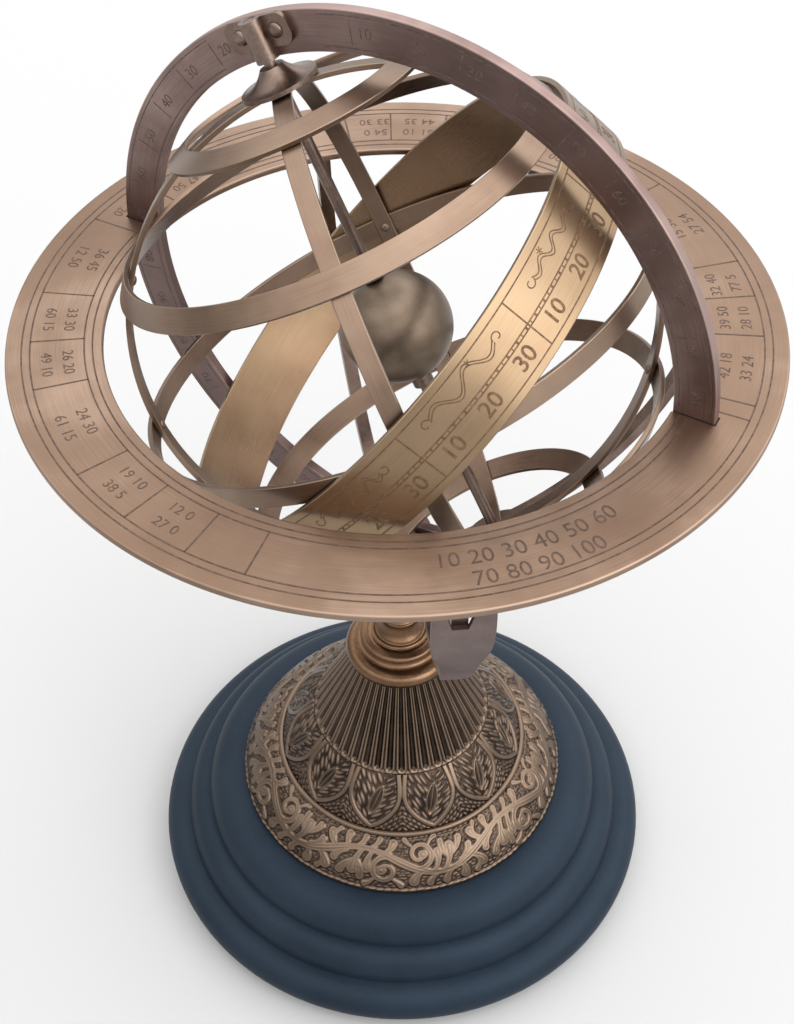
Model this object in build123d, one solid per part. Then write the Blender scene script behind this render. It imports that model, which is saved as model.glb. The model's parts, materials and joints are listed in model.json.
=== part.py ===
from build123d import *
import os
from math import cos, radians, sin, sqrt

# Armillary sphere on a turned stand. Millimetres, +Z up, origin on the floor under the stem's axis.

# Cage of rings that turns on the polar rod
colure_outer = 59.0
colure_width = 4.2
strip_wall = 1.2
strip_fit = 0.03
polar_circle_width = 5.6
polar_circle_latitude = 64.0
polar_circle_lean = 4.5
tropic_width = 5.4
tropic_latitude = 35.6
equator_width = 4.6
zodiac_width = 16.6
zodiac_tilt = 25.0
cage_turn = -54.5
seam_turn = 45.0

# Rivets: those of the cage have a small head inside and are flush outside
rivet_shank = 0.8
rivet_head = 1.7
rivet_dome = 0.9
cage_rivet_head = 1.1
cage_rivet_dome = 0.6
rivet_fit = 0.02

# Horizon ring, round the cage
cage_clearance = 2.46
horizon_wall = 1.8
horizon_overhang = 8.0

# Meridian ring, its plane and the tilt of the polar axis
meridian_ledge = 0.35
meridian_width = 9.25
meridian_wall = 2.5
meridian_setback = 1.65
meridian_turn = -29.75
centre_drop = 2.3
pole_altitude = 63.3
slide_gap = 0.2

# Polar rod, its collars and the pole caps
rod_radius = 1.25
rod_inset = 0.1
running_gap = 0.05
end_float = 0.3
collar_wall = 1.15
collar_length = 2.5
cap_radius = 8.3
cap_rim = 0.9
cap_neck_wall = 1.3
cap_flare_bow = 0.8
cap_float = 1.27

# Brackets that hold the rod on the meridian ring
bracket_wall = 1.2
bracket_foot_inset = 0.25
bracket_head_inset = 0.2
bracket_ear_drop = 2.0
bracket_corner = 2.6
rivet_margin = 0.6
ear_margin = 1.95

# Globe on the rod
earth_radius = 12.5

# Cradle under the horizon ring
arm_clearance = 0.9
arm_wall = 2.5
arm_width = 3.3
arm_turns = (14.0, 104.0, 194.0)
front_arm_turn = -85.5
front_arm_offset = 5.6
hub_radius = 8.0
hub_plinth = 4.2
hub_grip = 7.9
shield_wall = 1.2
shield_drop = 3.7
shield_shift = 0.7
shield_half_widths = ((0.0, 6.3), (8.0, 6.4), (19.0, 5.8), (31.0, 3.6))
shield_height = 40.5
shield_notch_width = 7.4
shield_notch_depth = 8.5

# Turned stem
stem_torus = 14.6
stem_torus_half = 2.3
stem_cove_height = 1.6
stem_cove_bow = 0.55
stem_collar = 10.7
stem_collar_half = 1.7
stem_ring = 8.6
stem_ring_half = 0.9
stem_bead = 6.4
stem_bead_half = 0.7
stem_neck_wall = 1.3
stem_neck_height = 17.0
stem_head = 7.0
stem_head_height = 3.0

# Embossed bell over the base
bell_rim = 45.4
bell_lip = 1.2
bell_bead = 33.9
bell_bead_height = 12.3
bell_bead_half = 1.0
bell_petal = 26.0
bell_petal_height = 27.1
bell_top = 12.5
bell_height = 49.7
bell_wall = 1.6
bell_scroll_bow = 1.6
bell_petal_bow = 0.9

# Wooden base of three tiers, with felt under it
crown_margin = 2.1
top_tier_reach = 8.9
top_tier_height = 8.8
middle_tier_reach = 6.6
middle_tier_height = 7.6
bottom_tier_reach = 7.2
bottom_tier_height = 11.6
tier_shelf = 0.9
foot_tuck = 4.2
felt_wall = 1.0
felt_margin = 2.0

# Tie rod that pulls the stem, bell and base together
tie_radius = 3.0
tie_clearance = 0.3
tie_thread = 5.0
tie_stub = 1.0
thread_fit = 0.02
nut_wall = 2.0
nut_height = 5.0
washer_reach = 6.0
washer_wall = 1.5
wrench_room = 4.0
recess_spare = 2.5

# Radii of the sphere, from the colures outwards
colure_inner = colure_outer - strip_wall
equator_inner = sqrt(colure_outer**2 + (colure_width / 2)**2) + strip_fit
equator_outer = equator_inner + strip_wall
zodiac_inner = sqrt(equator_outer**2 + (equator_width / 2)**2) + strip_fit
zodiac_outer = zodiac_inner + strip_wall
horizon_inner = zodiac_outer + cage_clearance
meridian_inner = horizon_inner + meridian_ledge
meridian_outer = meridian_inner + meridian_width
arm_inner = meridian_outer + arm_clearance
arm_outer = arm_inner + arm_wall
horizon_outer = arm_outer + horizon_overhang

# Places along the polar rod
bracket_foot = meridian_inner + bracket_foot_inset
bracket_head = meridian_outer - bracket_head_inset
bracket_ear_foot = bracket_foot + bracket_ear_drop
fold_radius = rod_radius + bracket_wall
rivet_spread = fold_radius + rivet_head + rivet_margin
rivet_reach = (bracket_ear_foot + bracket_head) / 2
bracket_half_length = rivet_spread + rivet_head + ear_margin
rod_end = bracket_head - rod_inset
cap_foot = colure_outer + strip_fit
cap_head = bracket_foot - cap_float

# Heights of the stand, from the floor upwards
recess_depth = washer_wall + nut_height + recess_spare
recess_top = felt_wall + recess_depth
washer_foot = recess_top - washer_wall
nut_foot = washer_foot - nut_height
base_top = felt_wall + bottom_tier_height + middle_tier_height + top_tier_height
bell_cap = base_top + bell_height
torus_top = bell_cap + 2 * stem_torus_half
collar_foot = torus_top + stem_cove_height
collar_top = collar_foot + 2 * stem_collar_half
ring_top = collar_top + 2 * stem_ring_half
bead_top = ring_top + 2 * stem_bead_half
head_foot = bead_top + stem_neck_height
hub_foot = head_foot + stem_head_height
centre_height = hub_foot + hub_plinth + arm_outer
hub_top = centre_height - meridian_outer + hub_grip
tie_head = hub_foot + tie_thread
horizon_top = centre_height + centre_drop
horizon_foot = horizon_top - horizon_wall

# Radii of the stand
base_crown = bell_rim + crown_margin
top_tier = base_crown + top_tier_reach
middle_tier = top_tier + middle_tier_reach
bottom_tier = middle_tier + bottom_tier_reach
base_foot = bottom_tier - foot_tuck
tie_bore = tie_radius + tie_clearance
washer_radius = tie_radius + washer_reach
recess_radius = washer_radius + wrench_room

# Frames: the meridian's plane, the polar axis as Z, and the cage as it is turned on that axis
sphere_centre = Vector(0, 0, centre_height)
meridian_x = Vector(cos(radians(meridian_turn)), sin(radians(meridian_turn)), 0)
meridian_frame = Plane(sphere_centre, x_dir=meridian_x, z_dir=meridian_x.cross(Vector(0, 0, 1)))
pole_direction = Vector(0, 0, 1) * sin(radians(pole_altitude)) - meridian_x * cos(radians(pole_altitude))
polar_frame = Plane(sphere_centre, x_dir=meridian_frame.z_dir, z_dir=pole_direction)
cage_frame = Plane(polar_frame.location * Location((0, 0, 0), (0, 0, cage_turn)))


def hoop(inner, wall, width):
    """Closed band round Z, with its seam between the places where rivets go."""
    band = extrude(Circle(inner + wall) - Circle(inner), width / 2, both=True)
    return Rotation(0, 0, seam_turn) * band


def pin(radius, start, end):
    return Pos(0, 0, start) * extrude(Circle(radius), end - start)


def turned(*edges):
    return revolve(Plane.XZ * make_face(Curve(edges).edges()), Axis.Z)


def lie_along_x(shape):
    return Rotation(0, 90, 0) * shape


def set_of(shapes):
    return Compound([solid for shape in shapes for solid in shape.solids()])


def spokes(shape, turns):
    return [Rotation(0, 0, turn) * shape for turn in turns]


def rivet(foot, seat, head_radius, dome_height):
    """Shank along Z from foot to seat, with a domed head that stands on the seat."""
    dome = (head_radius**2 + dome_height**2) / (2 * dome_height)
    head = Pos(0, 0, seat + dome_height - dome) * Sphere(dome)
    head &= pin(dome, seat, seat + dome)
    return pin(rivet_shank, foot, seat) + head


def rivet_hole(foot, seat):
    return pin(rivet_shank + rivet_fit, foot, seat)


# Cage strips, in the frame of the cage: Z is the polar axis and the equinoxes lie on Y
def parallel(latitude, width):
    """Band bent to the sphere, so that it lies flat on the colures at this latitude."""
    strip = Pos(equator_inner + strip_wall / 2, 0) * Rectangle(strip_wall, width)
    return Rotation(0, 0, seam_turn) * revolve(Plane.XZ * Rotation(0, 0, latitude) * strip, Axis.Z)


def cage_rivet(end):
    """Rivet along Z with its head inside the colure and its end flush with the outside."""
    seat = colure_inner - rivet_fit
    return Rotation(180, 0, 0) * rivet(-end, -seat, cage_rivet_head, cage_rivet_dome)


quarter_turns = (0, 90, 180, 270)
solstice_turns = (0, 180)
equinox_turns = (90, 270)
at_tropic = Rotation(0, 90 - tropic_latitude, 0)

cage_hole = rivet_hole(colure_inner - strip_wall, zodiac_outer + strip_wall)
north_holes = spokes(at_tropic * cage_hole, quarter_turns)
south_holes = [mirror(hole, Plane.XY) for hole in north_holes]
equator_hole = lie_along_x(cage_hole)
equator_holes = spokes(equator_hole, quarter_turns)
pole_hole = pin(rod_radius + end_float, -colure_outer, colure_outer)


def colure(through_equinoxes):
    """Hoop through both poles, half lapped there where the other colure crosses it."""
    ring = lie_along_x(hoop(colure_inner, strip_wall, colure_width))
    middle = colure_outer - strip_wall / 2
    lap_height = middle - strip_wall if through_equinoxes else middle + strip_wall - strip_fit
    lap = Box(2 * colure_width, colure_width + 2 * strip_fit, 2 * strip_wall)
    notch = Pos(0, 0, lap_height) * lap
    ring -= [notch, mirror(notch, Plane.XY), pole_hole]
    if not through_equinoxes:
        ring = Rotation(0, 0, 90) * ring
    return ring - north_holes - south_holes - equator_holes


def pole_cap():
    """Flared cap that clamps the crossed colures and runs on the polar rod."""
    bore = rod_radius + running_gap
    neck = bore + cap_neck_wall
    rim = cap_foot + cap_rim
    return turned(
        Polyline((cap_radius, rim), (cap_radius, cap_foot), (bore, cap_foot), (bore, cap_head), (neck, cap_head)),
        SagittaArc((neck, cap_head), (cap_radius, rim), -cap_flare_bow),
    )


def cage_parts():
    lean = Rotation(polar_circle_lean, 0, 0)
    polar_circle = parallel(polar_circle_latitude, polar_circle_width)
    tropic = parallel(tropic_latitude, tropic_width) - north_holes
    tropic_rivets = set_of(spokes(at_tropic * cage_rivet(equator_outer), quarter_turns))
    zodiac = Rotation(0, zodiac_tilt, 0) * hoop(zodiac_inner, strip_wall, zodiac_width)
    solstice_rivet = lie_along_x(cage_rivet(equator_outer))
    equinox_rivet = lie_along_x(cage_rivet(zodiac_outer))
    cap = pole_cap()
    return {
        "equinox_colure": colure(True),
        "solstice_colure": colure(False),
        "arctic_circle": lean * polar_circle,
        "antarctic_circle": lean * mirror(polar_circle, Plane.XY),
        "north_tropic": tropic,
        "south_tropic": mirror(tropic, Plane.XY),
        "equator_ring": hoop(equator_inner, strip_wall, equator_width) - equator_holes,
        "zodiac_band": zodiac - spokes(equator_hole, equinox_turns),
        "north_pole_cap": cap,
        "south_pole_cap": mirror(cap, Plane.XY),
        "north_tropic_rivets": tropic_rivets,
        "south_tropic_rivets": mirror(tropic_rivets, Plane.XY),
        "solstice_rivets": set_of(spokes(solstice_rivet, solstice_turns)),
        "equinox_rivets": set_of(spokes(equinox_rivet, equinox_turns)),
    }


def earth_parts():
    bore = pin(rod_radius + running_gap, -earth_radius, earth_radius)
    return {"earth_ball": Sphere(earth_radius) - bore}


# Meridian ring and what is fixed to it, in the polar frame: X is out of the ring's front face
def at_bracket_rivets(shape):
    return [Pos(0, side * rivet_spread, rivet_reach) * shape for side in (-1, 1)]


def bracket():
    """Clip folded round the rod, with an ear on each side that lies on the ring."""
    back = -meridian_setback
    on_back = (Align.MIN, Align.CENTER, Align.MIN)
    ears = Box(bracket_wall, 2 * bracket_half_length, bracket_head - bracket_ear_foot, align=on_back)
    ears = fillet(ears.edges().filter_by(Axis.X), bracket_corner)
    ears = Pos(back, 0, bracket_ear_foot) * ears
    fold_length = bracket_head - bracket_foot
    web = Box(meridian_setback, 2 * fold_radius, fold_length, align=on_back)
    room = Box(meridian_setback + fold_radius, 2 * fold_radius, fold_length, align=on_back)
    fold = pin(fold_radius, bracket_foot, bracket_head) + Pos(back, 0, bracket_foot) * web
    fold &= Pos(back, 0, bracket_foot) * room
    holes = at_bracket_rivets(lie_along_x(rivet_hole(back, fold_radius)))
    return ears + fold - pin(rod_radius + rivet_fit, bracket_foot, bracket_head) - holes


def meridian_parts():
    south = Rotation(180, 0, 0)
    front = -meridian_setback
    back = front - meridian_wall
    ring = lie_along_x(hoop(meridian_inner, meridian_width, meridian_wall))
    ring = Pos((front + back) / 2, 0, 0) * ring
    holes = at_bracket_rivets(lie_along_x(rivet_hole(back, front)))
    bracket_rivet = lie_along_x(rivet(back, front + bracket_wall, rivet_head, rivet_dome))
    rivets = set_of(at_bracket_rivets(bracket_rivet))
    clip = bracket()
    collar_start = earth_radius + end_float
    collar_end = collar_start + collar_length
    collar = pin(rod_radius + collar_wall, collar_start, collar_end)
    collar -= pin(rod_radius + rivet_fit, collar_start, collar_end)
    return {
        "meridian_ring": ring - holes - [south * hole for hole in holes],
        "north_bracket": clip,
        "south_bracket": south * clip,
        "north_bracket_rivets": rivets,
        "south_bracket_rivets": south * rivets,
        "polar_rod": pin(rod_radius, -rod_end, rod_end),
        "upper_collar": collar,
        "lower_collar": south * collar,
    }


# Stand, in the frame of the whole object
def meridian_slot(inner):
    """Room for the meridian ring to slide through, outside an inner radius."""
    slot_wall = meridian_wall + 2 * slide_gap
    slot = extrude(Circle(meridian_outer + slide_gap) - Circle(inner), slot_wall)
    return meridian_frame.location * Pos(0, 0, -meridian_setback - meridian_wall - slide_gap) * slot


def horizon_ring():
    ring = pin(horizon_outer, horizon_foot, horizon_top) - pin(horizon_inner, horizon_foot, horizon_top)
    return ring - meridian_slot(horizon_inner - slide_gap)


def cradle_hub():
    hub = pin(hub_radius, hub_foot, hub_top)
    hub -= pin(tie_radius + thread_fit, hub_foot, tie_head + tie_clearance)
    return hub - meridian_slot(horizon_inner - slide_gap)


def cradle_arm(turn, offset):
    """Quarter strap from the hub up to the underside of the horizon ring, beside the axis by offset."""
    strap = Pos(0, 0, centre_height) * Rotation(90, 0, 0) * hoop(arm_inner, arm_wall, arm_width)
    quarter = Box(arm_outer, arm_width, 2 * arm_outer, align=(Align.MIN, Align.CENTER, Align.MAX))
    strap &= Pos(0, 0, horizon_foot) * quarter
    strap = Pos(0, offset, 0) * strap - pin(hub_radius + strip_fit, hub_foot, hub_top)
    return Rotation(0, 0, turn) * strap


def front_shield():
    """Tongue of sheet on the outside of the front arm, notched at the top."""
    sheet_inner = arm_outer + strip_fit
    sheet = Rotation(90, 0, 0) * hoop(sheet_inner, shield_wall, 2 * shield_height)
    top = horizon_foot - shield_drop
    edge = [(half_width, top - drop) for drop, half_width in shield_half_widths]
    side = Spline(*edge, (0, top - shield_height), tangents=((0, -1), (-1, 0)))
    other_side = mirror(side, Plane.YZ)
    outline = make_face([*side.edges(), *other_side.edges(), Line(side @ 0, other_side @ 0).edge()])
    notch = Polygon(
        (-shield_notch_width / 2, top),
        (-arm_width / 2, top - shield_notch_depth),
        (arm_width / 2, top - shield_notch_depth),
        (shield_notch_width / 2, top),
        align=None,
    )
    window = extrude(Plane.YZ * (Pos(shield_shift, 0) * outline - notch), sheet_inner + shield_wall)
    shield = Pos(0, front_arm_offset, 0) * (Pos(0, 0, centre_height) * sheet & window)
    return Rotation(0, 0, front_arm_turn) * shield


def stem():
    """Turned from a torus at the foot to a flat head under the hub, bored for the tie rod."""
    torus_core = stem_torus - stem_torus_half
    collar_core = stem_collar - stem_collar_half
    ring_core = stem_ring - stem_ring_half
    bead_core = stem_bead - stem_bead_half
    neck = tie_bore + stem_neck_wall
    waist = (bead_top + head_foot) / 2

    def round_edge(core, reach, foot, top):
        return ThreePointArc((core, foot), (reach, (foot + top) / 2), (core, top))

    body = turned(
        Line((0, bell_cap), (torus_core, bell_cap)),
        round_edge(torus_core, stem_torus, bell_cap, torus_top),
        SagittaArc((torus_core, torus_top), (collar_core, collar_foot), stem_cove_bow),
        round_edge(collar_core, stem_collar, collar_foot, collar_top),
        Line((collar_core, collar_top), (ring_core, collar_top)),
        round_edge(ring_core, stem_ring, collar_top, ring_top),
        Line((ring_core, ring_top), (bead_core, ring_top)),
        round_edge(bead_core, stem_bead, ring_top, bead_top),
        ThreePointArc((bead_core, bead_top), (neck, waist), (neck, head_foot)),
        Polyline((neck, head_foot), (stem_head, head_foot), (stem_head, hub_foot), (0, hub_foot), (0, bell_cap)),
    )
    return body - pin(tie_bore, bell_cap, hub_foot)


def bell_outline(inset):
    """Outline of half the bell, rim to top and back down its axis, moved in by inset."""
    rim = Vector(bell_rim - inset, base_top)
    lip = Vector(bell_rim - inset, base_top + bell_lip)
    bead = Vector(bell_bead - inset, base_top + bell_bead_height)
    petal = Vector(bell_petal - inset, base_top + bell_petal_height)
    top = Vector(bell_top - inset / 2, bell_cap - inset)
    return [
        Line(rim, lip),
        SagittaArc(lip, bead, -bell_scroll_bow),
        SagittaArc(bead, petal, -bell_petal_bow),
        Line(petal, top),
        Polyline(top, (0, top.Y), (0, base_top), rim),
    ]


def bell():
    bead = Pos(0, 0, base_top + bell_bead_height) * Torus(bell_bead, bell_bead_half)
    shell = turned(*bell_outline(0)) + bead - turned(*bell_outline(bell_wall))
    return shell - pin(tie_bore, base_top, bell_cap)


def wooden_base():
    """Three rounded tiers on a recess for the nut: the lowest is a half round, the others quarter rounds."""
    bottom_top = felt_wall + bottom_tier_height
    middle_top = bottom_top + middle_tier_height
    bottom_shoulder = middle_tier + tier_shelf
    middle_shoulder = top_tier + tier_shelf
    bottom_waist = felt_wall + bottom_tier_height / 2
    middle_round = middle_tier - middle_shoulder
    block = turned(
        Line((0, felt_wall), (base_foot, felt_wall)),
        ThreePointArc((base_foot, felt_wall), (bottom_tier, bottom_waist), (bottom_shoulder, bottom_top)),
        Line((bottom_shoulder, bottom_top), (middle_tier, bottom_top)),
        EllipticalCenterArc((middle_shoulder, bottom_top), middle_round, middle_tier_height, 0, arc_size=90),
        Line((middle_shoulder, middle_top), (top_tier, middle_top)),
        EllipticalCenterArc((base_crown, middle_top), top_tier_reach, top_tier_height, 0, arc_size=90),
        Polyline((base_crown, base_top), (0, base_top), (0, felt_wall)),
    )
    return block - pin(recess_radius, felt_wall, recess_top) - pin(tie_bore, felt_wall, base_top)


def tie_parts():
    nut_outline = RegularPolygon(tie_radius + nut_wall, 6, major_radius=False) - Circle(tie_radius + thread_fit)
    return {
        "tie_rod": pin(tie_radius, nut_foot - tie_stub, tie_head),
        "tie_nut": Pos(0, 0, nut_foot) * extrude(nut_outline, nut_height),
        "tie_washer": pin(washer_radius, washer_foot, recess_top) - pin(tie_bore, washer_foot, recess_top),
    }


def stand_parts():
    felt_outer = base_foot - felt_margin
    felt_inner = recess_radius + felt_margin
    side_arms = {f"cradle_arm_{i + 2}": cradle_arm(turn, 0) for i, turn in enumerate(arm_turns)}
    return {
        "felt_pad": pin(felt_outer, 0, felt_wall) - pin(felt_inner, 0, felt_wall),
        "wooden_base": wooden_base(),
        "embossed_bell": bell(),
        "stem": stem(),
        "cradle_hub": cradle_hub(),
        "cradle_arm_1": cradle_arm(front_arm_turn, front_arm_offset),
        **side_arms,
        "front_shield": front_shield(),
        "horizon_ring": horizon_ring(),
        **tie_parts(),
    }


parts = stand_parts()
for frame, group in ((polar_frame, meridian_parts()), (cage_frame, cage_parts()), (polar_frame, earth_parts())):
    for name, shape in group.items():
        parts[name] = frame.location * shape

os.makedirs("parts", exist_ok=True)
for name, shape in parts.items():
    export_step(shape, f"parts/{name}.step")
print(len(parts), "parts")
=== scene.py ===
import bpy
import bmesh
import functools
import json
import math
import numpy as np
from mathutils import Matrix, Vector


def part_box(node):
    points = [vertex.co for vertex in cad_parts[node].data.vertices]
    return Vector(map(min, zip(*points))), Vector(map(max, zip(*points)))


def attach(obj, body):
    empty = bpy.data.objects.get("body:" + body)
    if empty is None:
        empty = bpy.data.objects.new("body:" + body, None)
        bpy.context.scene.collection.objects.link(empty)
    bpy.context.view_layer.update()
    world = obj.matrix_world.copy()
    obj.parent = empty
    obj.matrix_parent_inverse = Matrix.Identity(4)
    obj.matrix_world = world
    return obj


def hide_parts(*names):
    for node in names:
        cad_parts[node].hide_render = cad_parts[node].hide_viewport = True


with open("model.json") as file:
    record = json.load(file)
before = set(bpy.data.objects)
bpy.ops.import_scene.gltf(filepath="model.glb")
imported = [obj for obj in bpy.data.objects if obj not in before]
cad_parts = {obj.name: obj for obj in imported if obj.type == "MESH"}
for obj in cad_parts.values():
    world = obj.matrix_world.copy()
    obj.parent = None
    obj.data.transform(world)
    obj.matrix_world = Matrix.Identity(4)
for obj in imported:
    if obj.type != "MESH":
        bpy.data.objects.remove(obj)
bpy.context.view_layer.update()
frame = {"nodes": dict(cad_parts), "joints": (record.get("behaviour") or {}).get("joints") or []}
print("frame loaded:", len(frame["nodes"]), "nodes")

# Frames of the sphere, from the joints
mm = 0.001
joints = {joint["name"]: joint for joint in frame["joints"]}
centre = Vector(joints["cage_spin"]["pos_m"])
pole = Vector(joints["cage_spin"]["axis"]).normalized()
faceOut = Vector(joints["meridian_tilt"]["axis"]).normalized()  # out of the meridian's engraved face
cage = {"turn": math.radians(-54.5), "zodiacTilt": math.radians(25.0), "polarLean": math.radians(4.5)}


def frameAt(origin, xDirection, zDirection):
    z = zDirection.normalized()
    x = (xDirection - z * xDirection.dot(z)).normalized()
    return Matrix.Translation(origin) @ Matrix((x, z.cross(x), z)).transposed().to_4x4()


polarFrame = frameAt(centre, faceOut, pole)
cageFrame = polarFrame @ Matrix.Rotation(cage["turn"], 4, "Z")
zodiacFrame = cageFrame @ Matrix.Rotation(cage["zodiacTilt"], 4, "Y")
polarCircleFrame = cageFrame @ Matrix.Rotation(cage["polarLean"], 4, "X")
meridianFrame = frameAt(centre, Vector((0, 0, 1)).cross(faceOut), faceOut)
equinoxFrame = cageFrame @ Matrix.Rotation(math.pi / 2, 4, "Y")
solsticeFrame = cageFrame @ Matrix.Rotation(math.pi / 2, 4, "X")


# Mesh helpers
def meshPoints(mesh):
    flat = np.empty(len(mesh.vertices) * 3)
    mesh.vertices.foreach_get("co", flat)
    return flat.reshape(-1, 3)


def placed(points, matrix):
    place = np.array(matrix)
    return points @ place[:3, :3].T + place[:3, 3]


def aroundZ(radius, turn, level):
    # from millimetres to points in metres
    return np.stack([radius * np.cos(turn), radius * np.sin(turn), level + 0 * turn], axis=-1).reshape(-1, 3) * mm


def stripPlaces(points, matrix, latitude):
    # how far out along the strip's normal and across it each point lies, and its angle
    local = placed(points, matrix.inverted())
    radius = np.hypot(local[:, 0], local[:, 1])
    out = radius * math.cos(latitude) + local[:, 2] * math.sin(latitude)
    across = local[:, 2] * math.cos(latitude) - radius * math.sin(latitude)
    return out, across, np.arctan2(local[:, 1], local[:, 0])


def measureHoop(node, matrix, latitude=0.0):
    out, across, angle = stripPlaces(meshPoints(frame["nodes"][node].data), matrix, latitude)
    return out.min(), out.max(), across.min(), across.max()


def newMesh(name, points=(), faces=()):
    mesh = bpy.data.meshes.new(name)
    mesh.from_pydata(points, [], faces)
    return mesh


def simpleMesh(name, operator, **values):
    # a mesh from one bmesh operator
    shape = bmesh.new()
    operator(shape, **values)
    mesh = bpy.data.meshes.new(name)
    shape.to_mesh(mesh)
    shape.free()
    return mesh


def gridFaces(rows, wide, columns):
    # faces between rows of points; the last row meets the first one
    return [(row * wide + c, row * wide + (c + 1) % wide,
             (row + 1) % rows * wide + (c + 1) % wide, (row + 1) % rows * wide + c)
            for row in range(rows) for c in range(columns)]


def addObject(name, data):
    piece = bpy.data.objects.new(name, data)
    bpy.context.scene.collection.objects.link(piece)
    return piece


def builtMesh(piece):
    # the object's text or modifiers, worked out
    bpy.context.view_layer.update()
    return bpy.data.meshes.new_from_object(piece.evaluated_get(bpy.context.evaluated_depsgraph_get()))


def settle(piece):
    # modifiers become plain mesh
    mesh = builtMesh(piece)
    mesh.name = piece.name
    piece.modifiers.clear()
    piece.data = mesh
    return piece


def evenNormals(piece):
    # flat faces stay flat in shading, rounded edges take the turn
    bend = piece.modifiers.new("evenNormals", "WEIGHTED_NORMAL")
    bend.keep_sharp = True
    bend.weight = 80


def pointValues(mesh, name, values):
    mesh.attributes.new(name, "FLOAT", "POINT").data.foreach_set("value", np.ravel(values))


def dress(piece, body, slot, *nodes):
    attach(piece, body)
    if nodes:
        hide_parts(*nodes)
    return piece


def markStrip(mesh, matrix, latitude, rim, inside):
    # a UV along and across the strip in millimetres, for the brushing
    out, across, angle = stripPlaces(meshPoints(mesh), matrix, latitude)
    upward = (across + out) / mm
    around = out.mean() * math.cos(latitude) / mm
    layer = mesh.uv_layers.new(name="strip")
    for face in mesh.polygons:
        turns = [angle[v] for v in face.vertices]
        wraps = max(turns) - min(turns) > math.pi
        for loop, v, turn in zip(face.loop_indices, face.vertices, turns):
            layer.data[loop].uv = ((turn + 2 * math.pi * (wraps and turn < 0)) * around, upward[v])
    # rubbed bright, partly real wear and partly painted highlight: rounded edges fully, the sides not, the outer and
    # inner faces as given; negative values on the inner faces are painted shade
    slack = 1e-6
    worn = np.where((across < across.min() + slack) | (across > across.max() - slack), 0.0, 1.0)
    worn[out > out.max() - slack] = rim
    worn[out < out.min() + slack] = inside
    pointValues(mesh, "worn", worn)


# Node helpers
def setInputs(tree, node, values):
    # a value is a constant or a socket to link
    for label, value in values.items():
        if isinstance(value, bpy.types.NodeSocket):
            tree.links.new(value, node.inputs[label])
        else:
            node.inputs[label].default_value = value


def addNode(tree, kind, values=None, **settings):
    # gives the first output of the new node
    node = tree.nodes.new(kind)
    for key, value in settings.items():
        setattr(node, key, value)
    setInputs(tree, node, values or {})
    return node.outputs[0]


def mathOf(tree, operation, *values):
    return addNode(tree, "ShaderNodeMath", dict(enumerate(values)), operation=operation)


# Geometry node trees
def startTree(name, **inputs):
    tree = bpy.data.node_groups.new(name, "GeometryNodeTree")
    for label, kind in {"Geometry": "Geometry", **inputs, "Material": "Material"}.items():
        tree.interface.new_socket(label, in_out="INPUT", socket_type="NodeSocket" + kind)
    tree.interface.new_socket("Geometry", in_out="OUTPUT", socket_type="NodeSocketGeometry")
    return tree, tree.nodes.new("NodeGroupInput").outputs


def finishTree(tree, given, made):
    for kind in ("RealizeInstances", "SetShadeSmooth"):
        made = addNode(tree, "GeometryNode" + kind, {"Geometry": made})
    made = addNode(tree, "GeometryNodeSetMaterial", {"Geometry": made, "Material": given["Material"]})
    setInputs(tree, tree.nodes.new("NodeGroupOutput"), {"Geometry": made})
    return tree


def grown(name, mesh, tree, values):
    # an object whose shape the tree makes from the mesh
    piece = addObject(name, mesh)
    shape = piece.modifiers.new(tree.name, "NODES")
    shape.node_group = tree
    for socket in tree.interface.items_tree:
        if socket.in_out == "INPUT" and socket.name in values:
            shape[socket.identifier] = values[socket.name]
    return piece


def makeHoopTree():
    # a rounded strip section, turned to lie on the sphere, swept round a circle
    tree, given = startTree(
        "hoopStrip", Radius="Float", Wall="Float", Width="Float", Round="Float", Lean="Vector", Steps="Int")
    circle = addNode(tree, "GeometryNodeCurvePrimitiveCircle",
                     {"Radius": given["Radius"], "Resolution": given["Steps"]})
    section = addNode(tree, "GeometryNodeCurvePrimitiveQuadrilateral",
                      {"Width": given["Wall"], "Height": given["Width"]})
    edges = addNode(tree, "GeometryNodeFilletCurve", {"Curve": section, "Radius": given["Round"], "Count": 3},
                    mode="POLY")
    lean = addNode(tree, "GeometryNodeTransform", {"Geometry": edges, "Rotation": given["Lean"]})
    sweep = addNode(tree, "GeometryNodeCurveToMesh", {"Curve": circle, "Profile Curve": lean})
    return finishTree(tree, given, sweep)


def makeRepeatTree():
    # the given sector, repeated round Z and welded into a ring
    tree, given = startTree("ringOfSectors", Count="Int", Weld="Float")
    places = addNode(tree, "GeometryNodeMeshLine", {"Count": given["Count"], "Offset": (0, 0, 0)})
    step = mathOf(tree, "DIVIDE", 2 * math.pi, given["Count"])
    turn = mathOf(tree, "MULTIPLY", addNode(tree, "GeometryNodeInputIndex"), step)
    spin = addNode(tree, "ShaderNodeCombineXYZ", {"Z": turn})
    copies = addNode(tree, "GeometryNodeInstanceOnPoints",
                     {"Points": places, "Instance": given["Geometry"], "Rotation": spin})
    whole = addNode(tree, "GeometryNodeRealizeInstances", {"Geometry": copies})
    weld = addNode(tree, "GeometryNodeMergeByDistance", {"Geometry": whole, "Distance": given["Weld"]})
    return finishTree(tree, given, weld)


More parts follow.
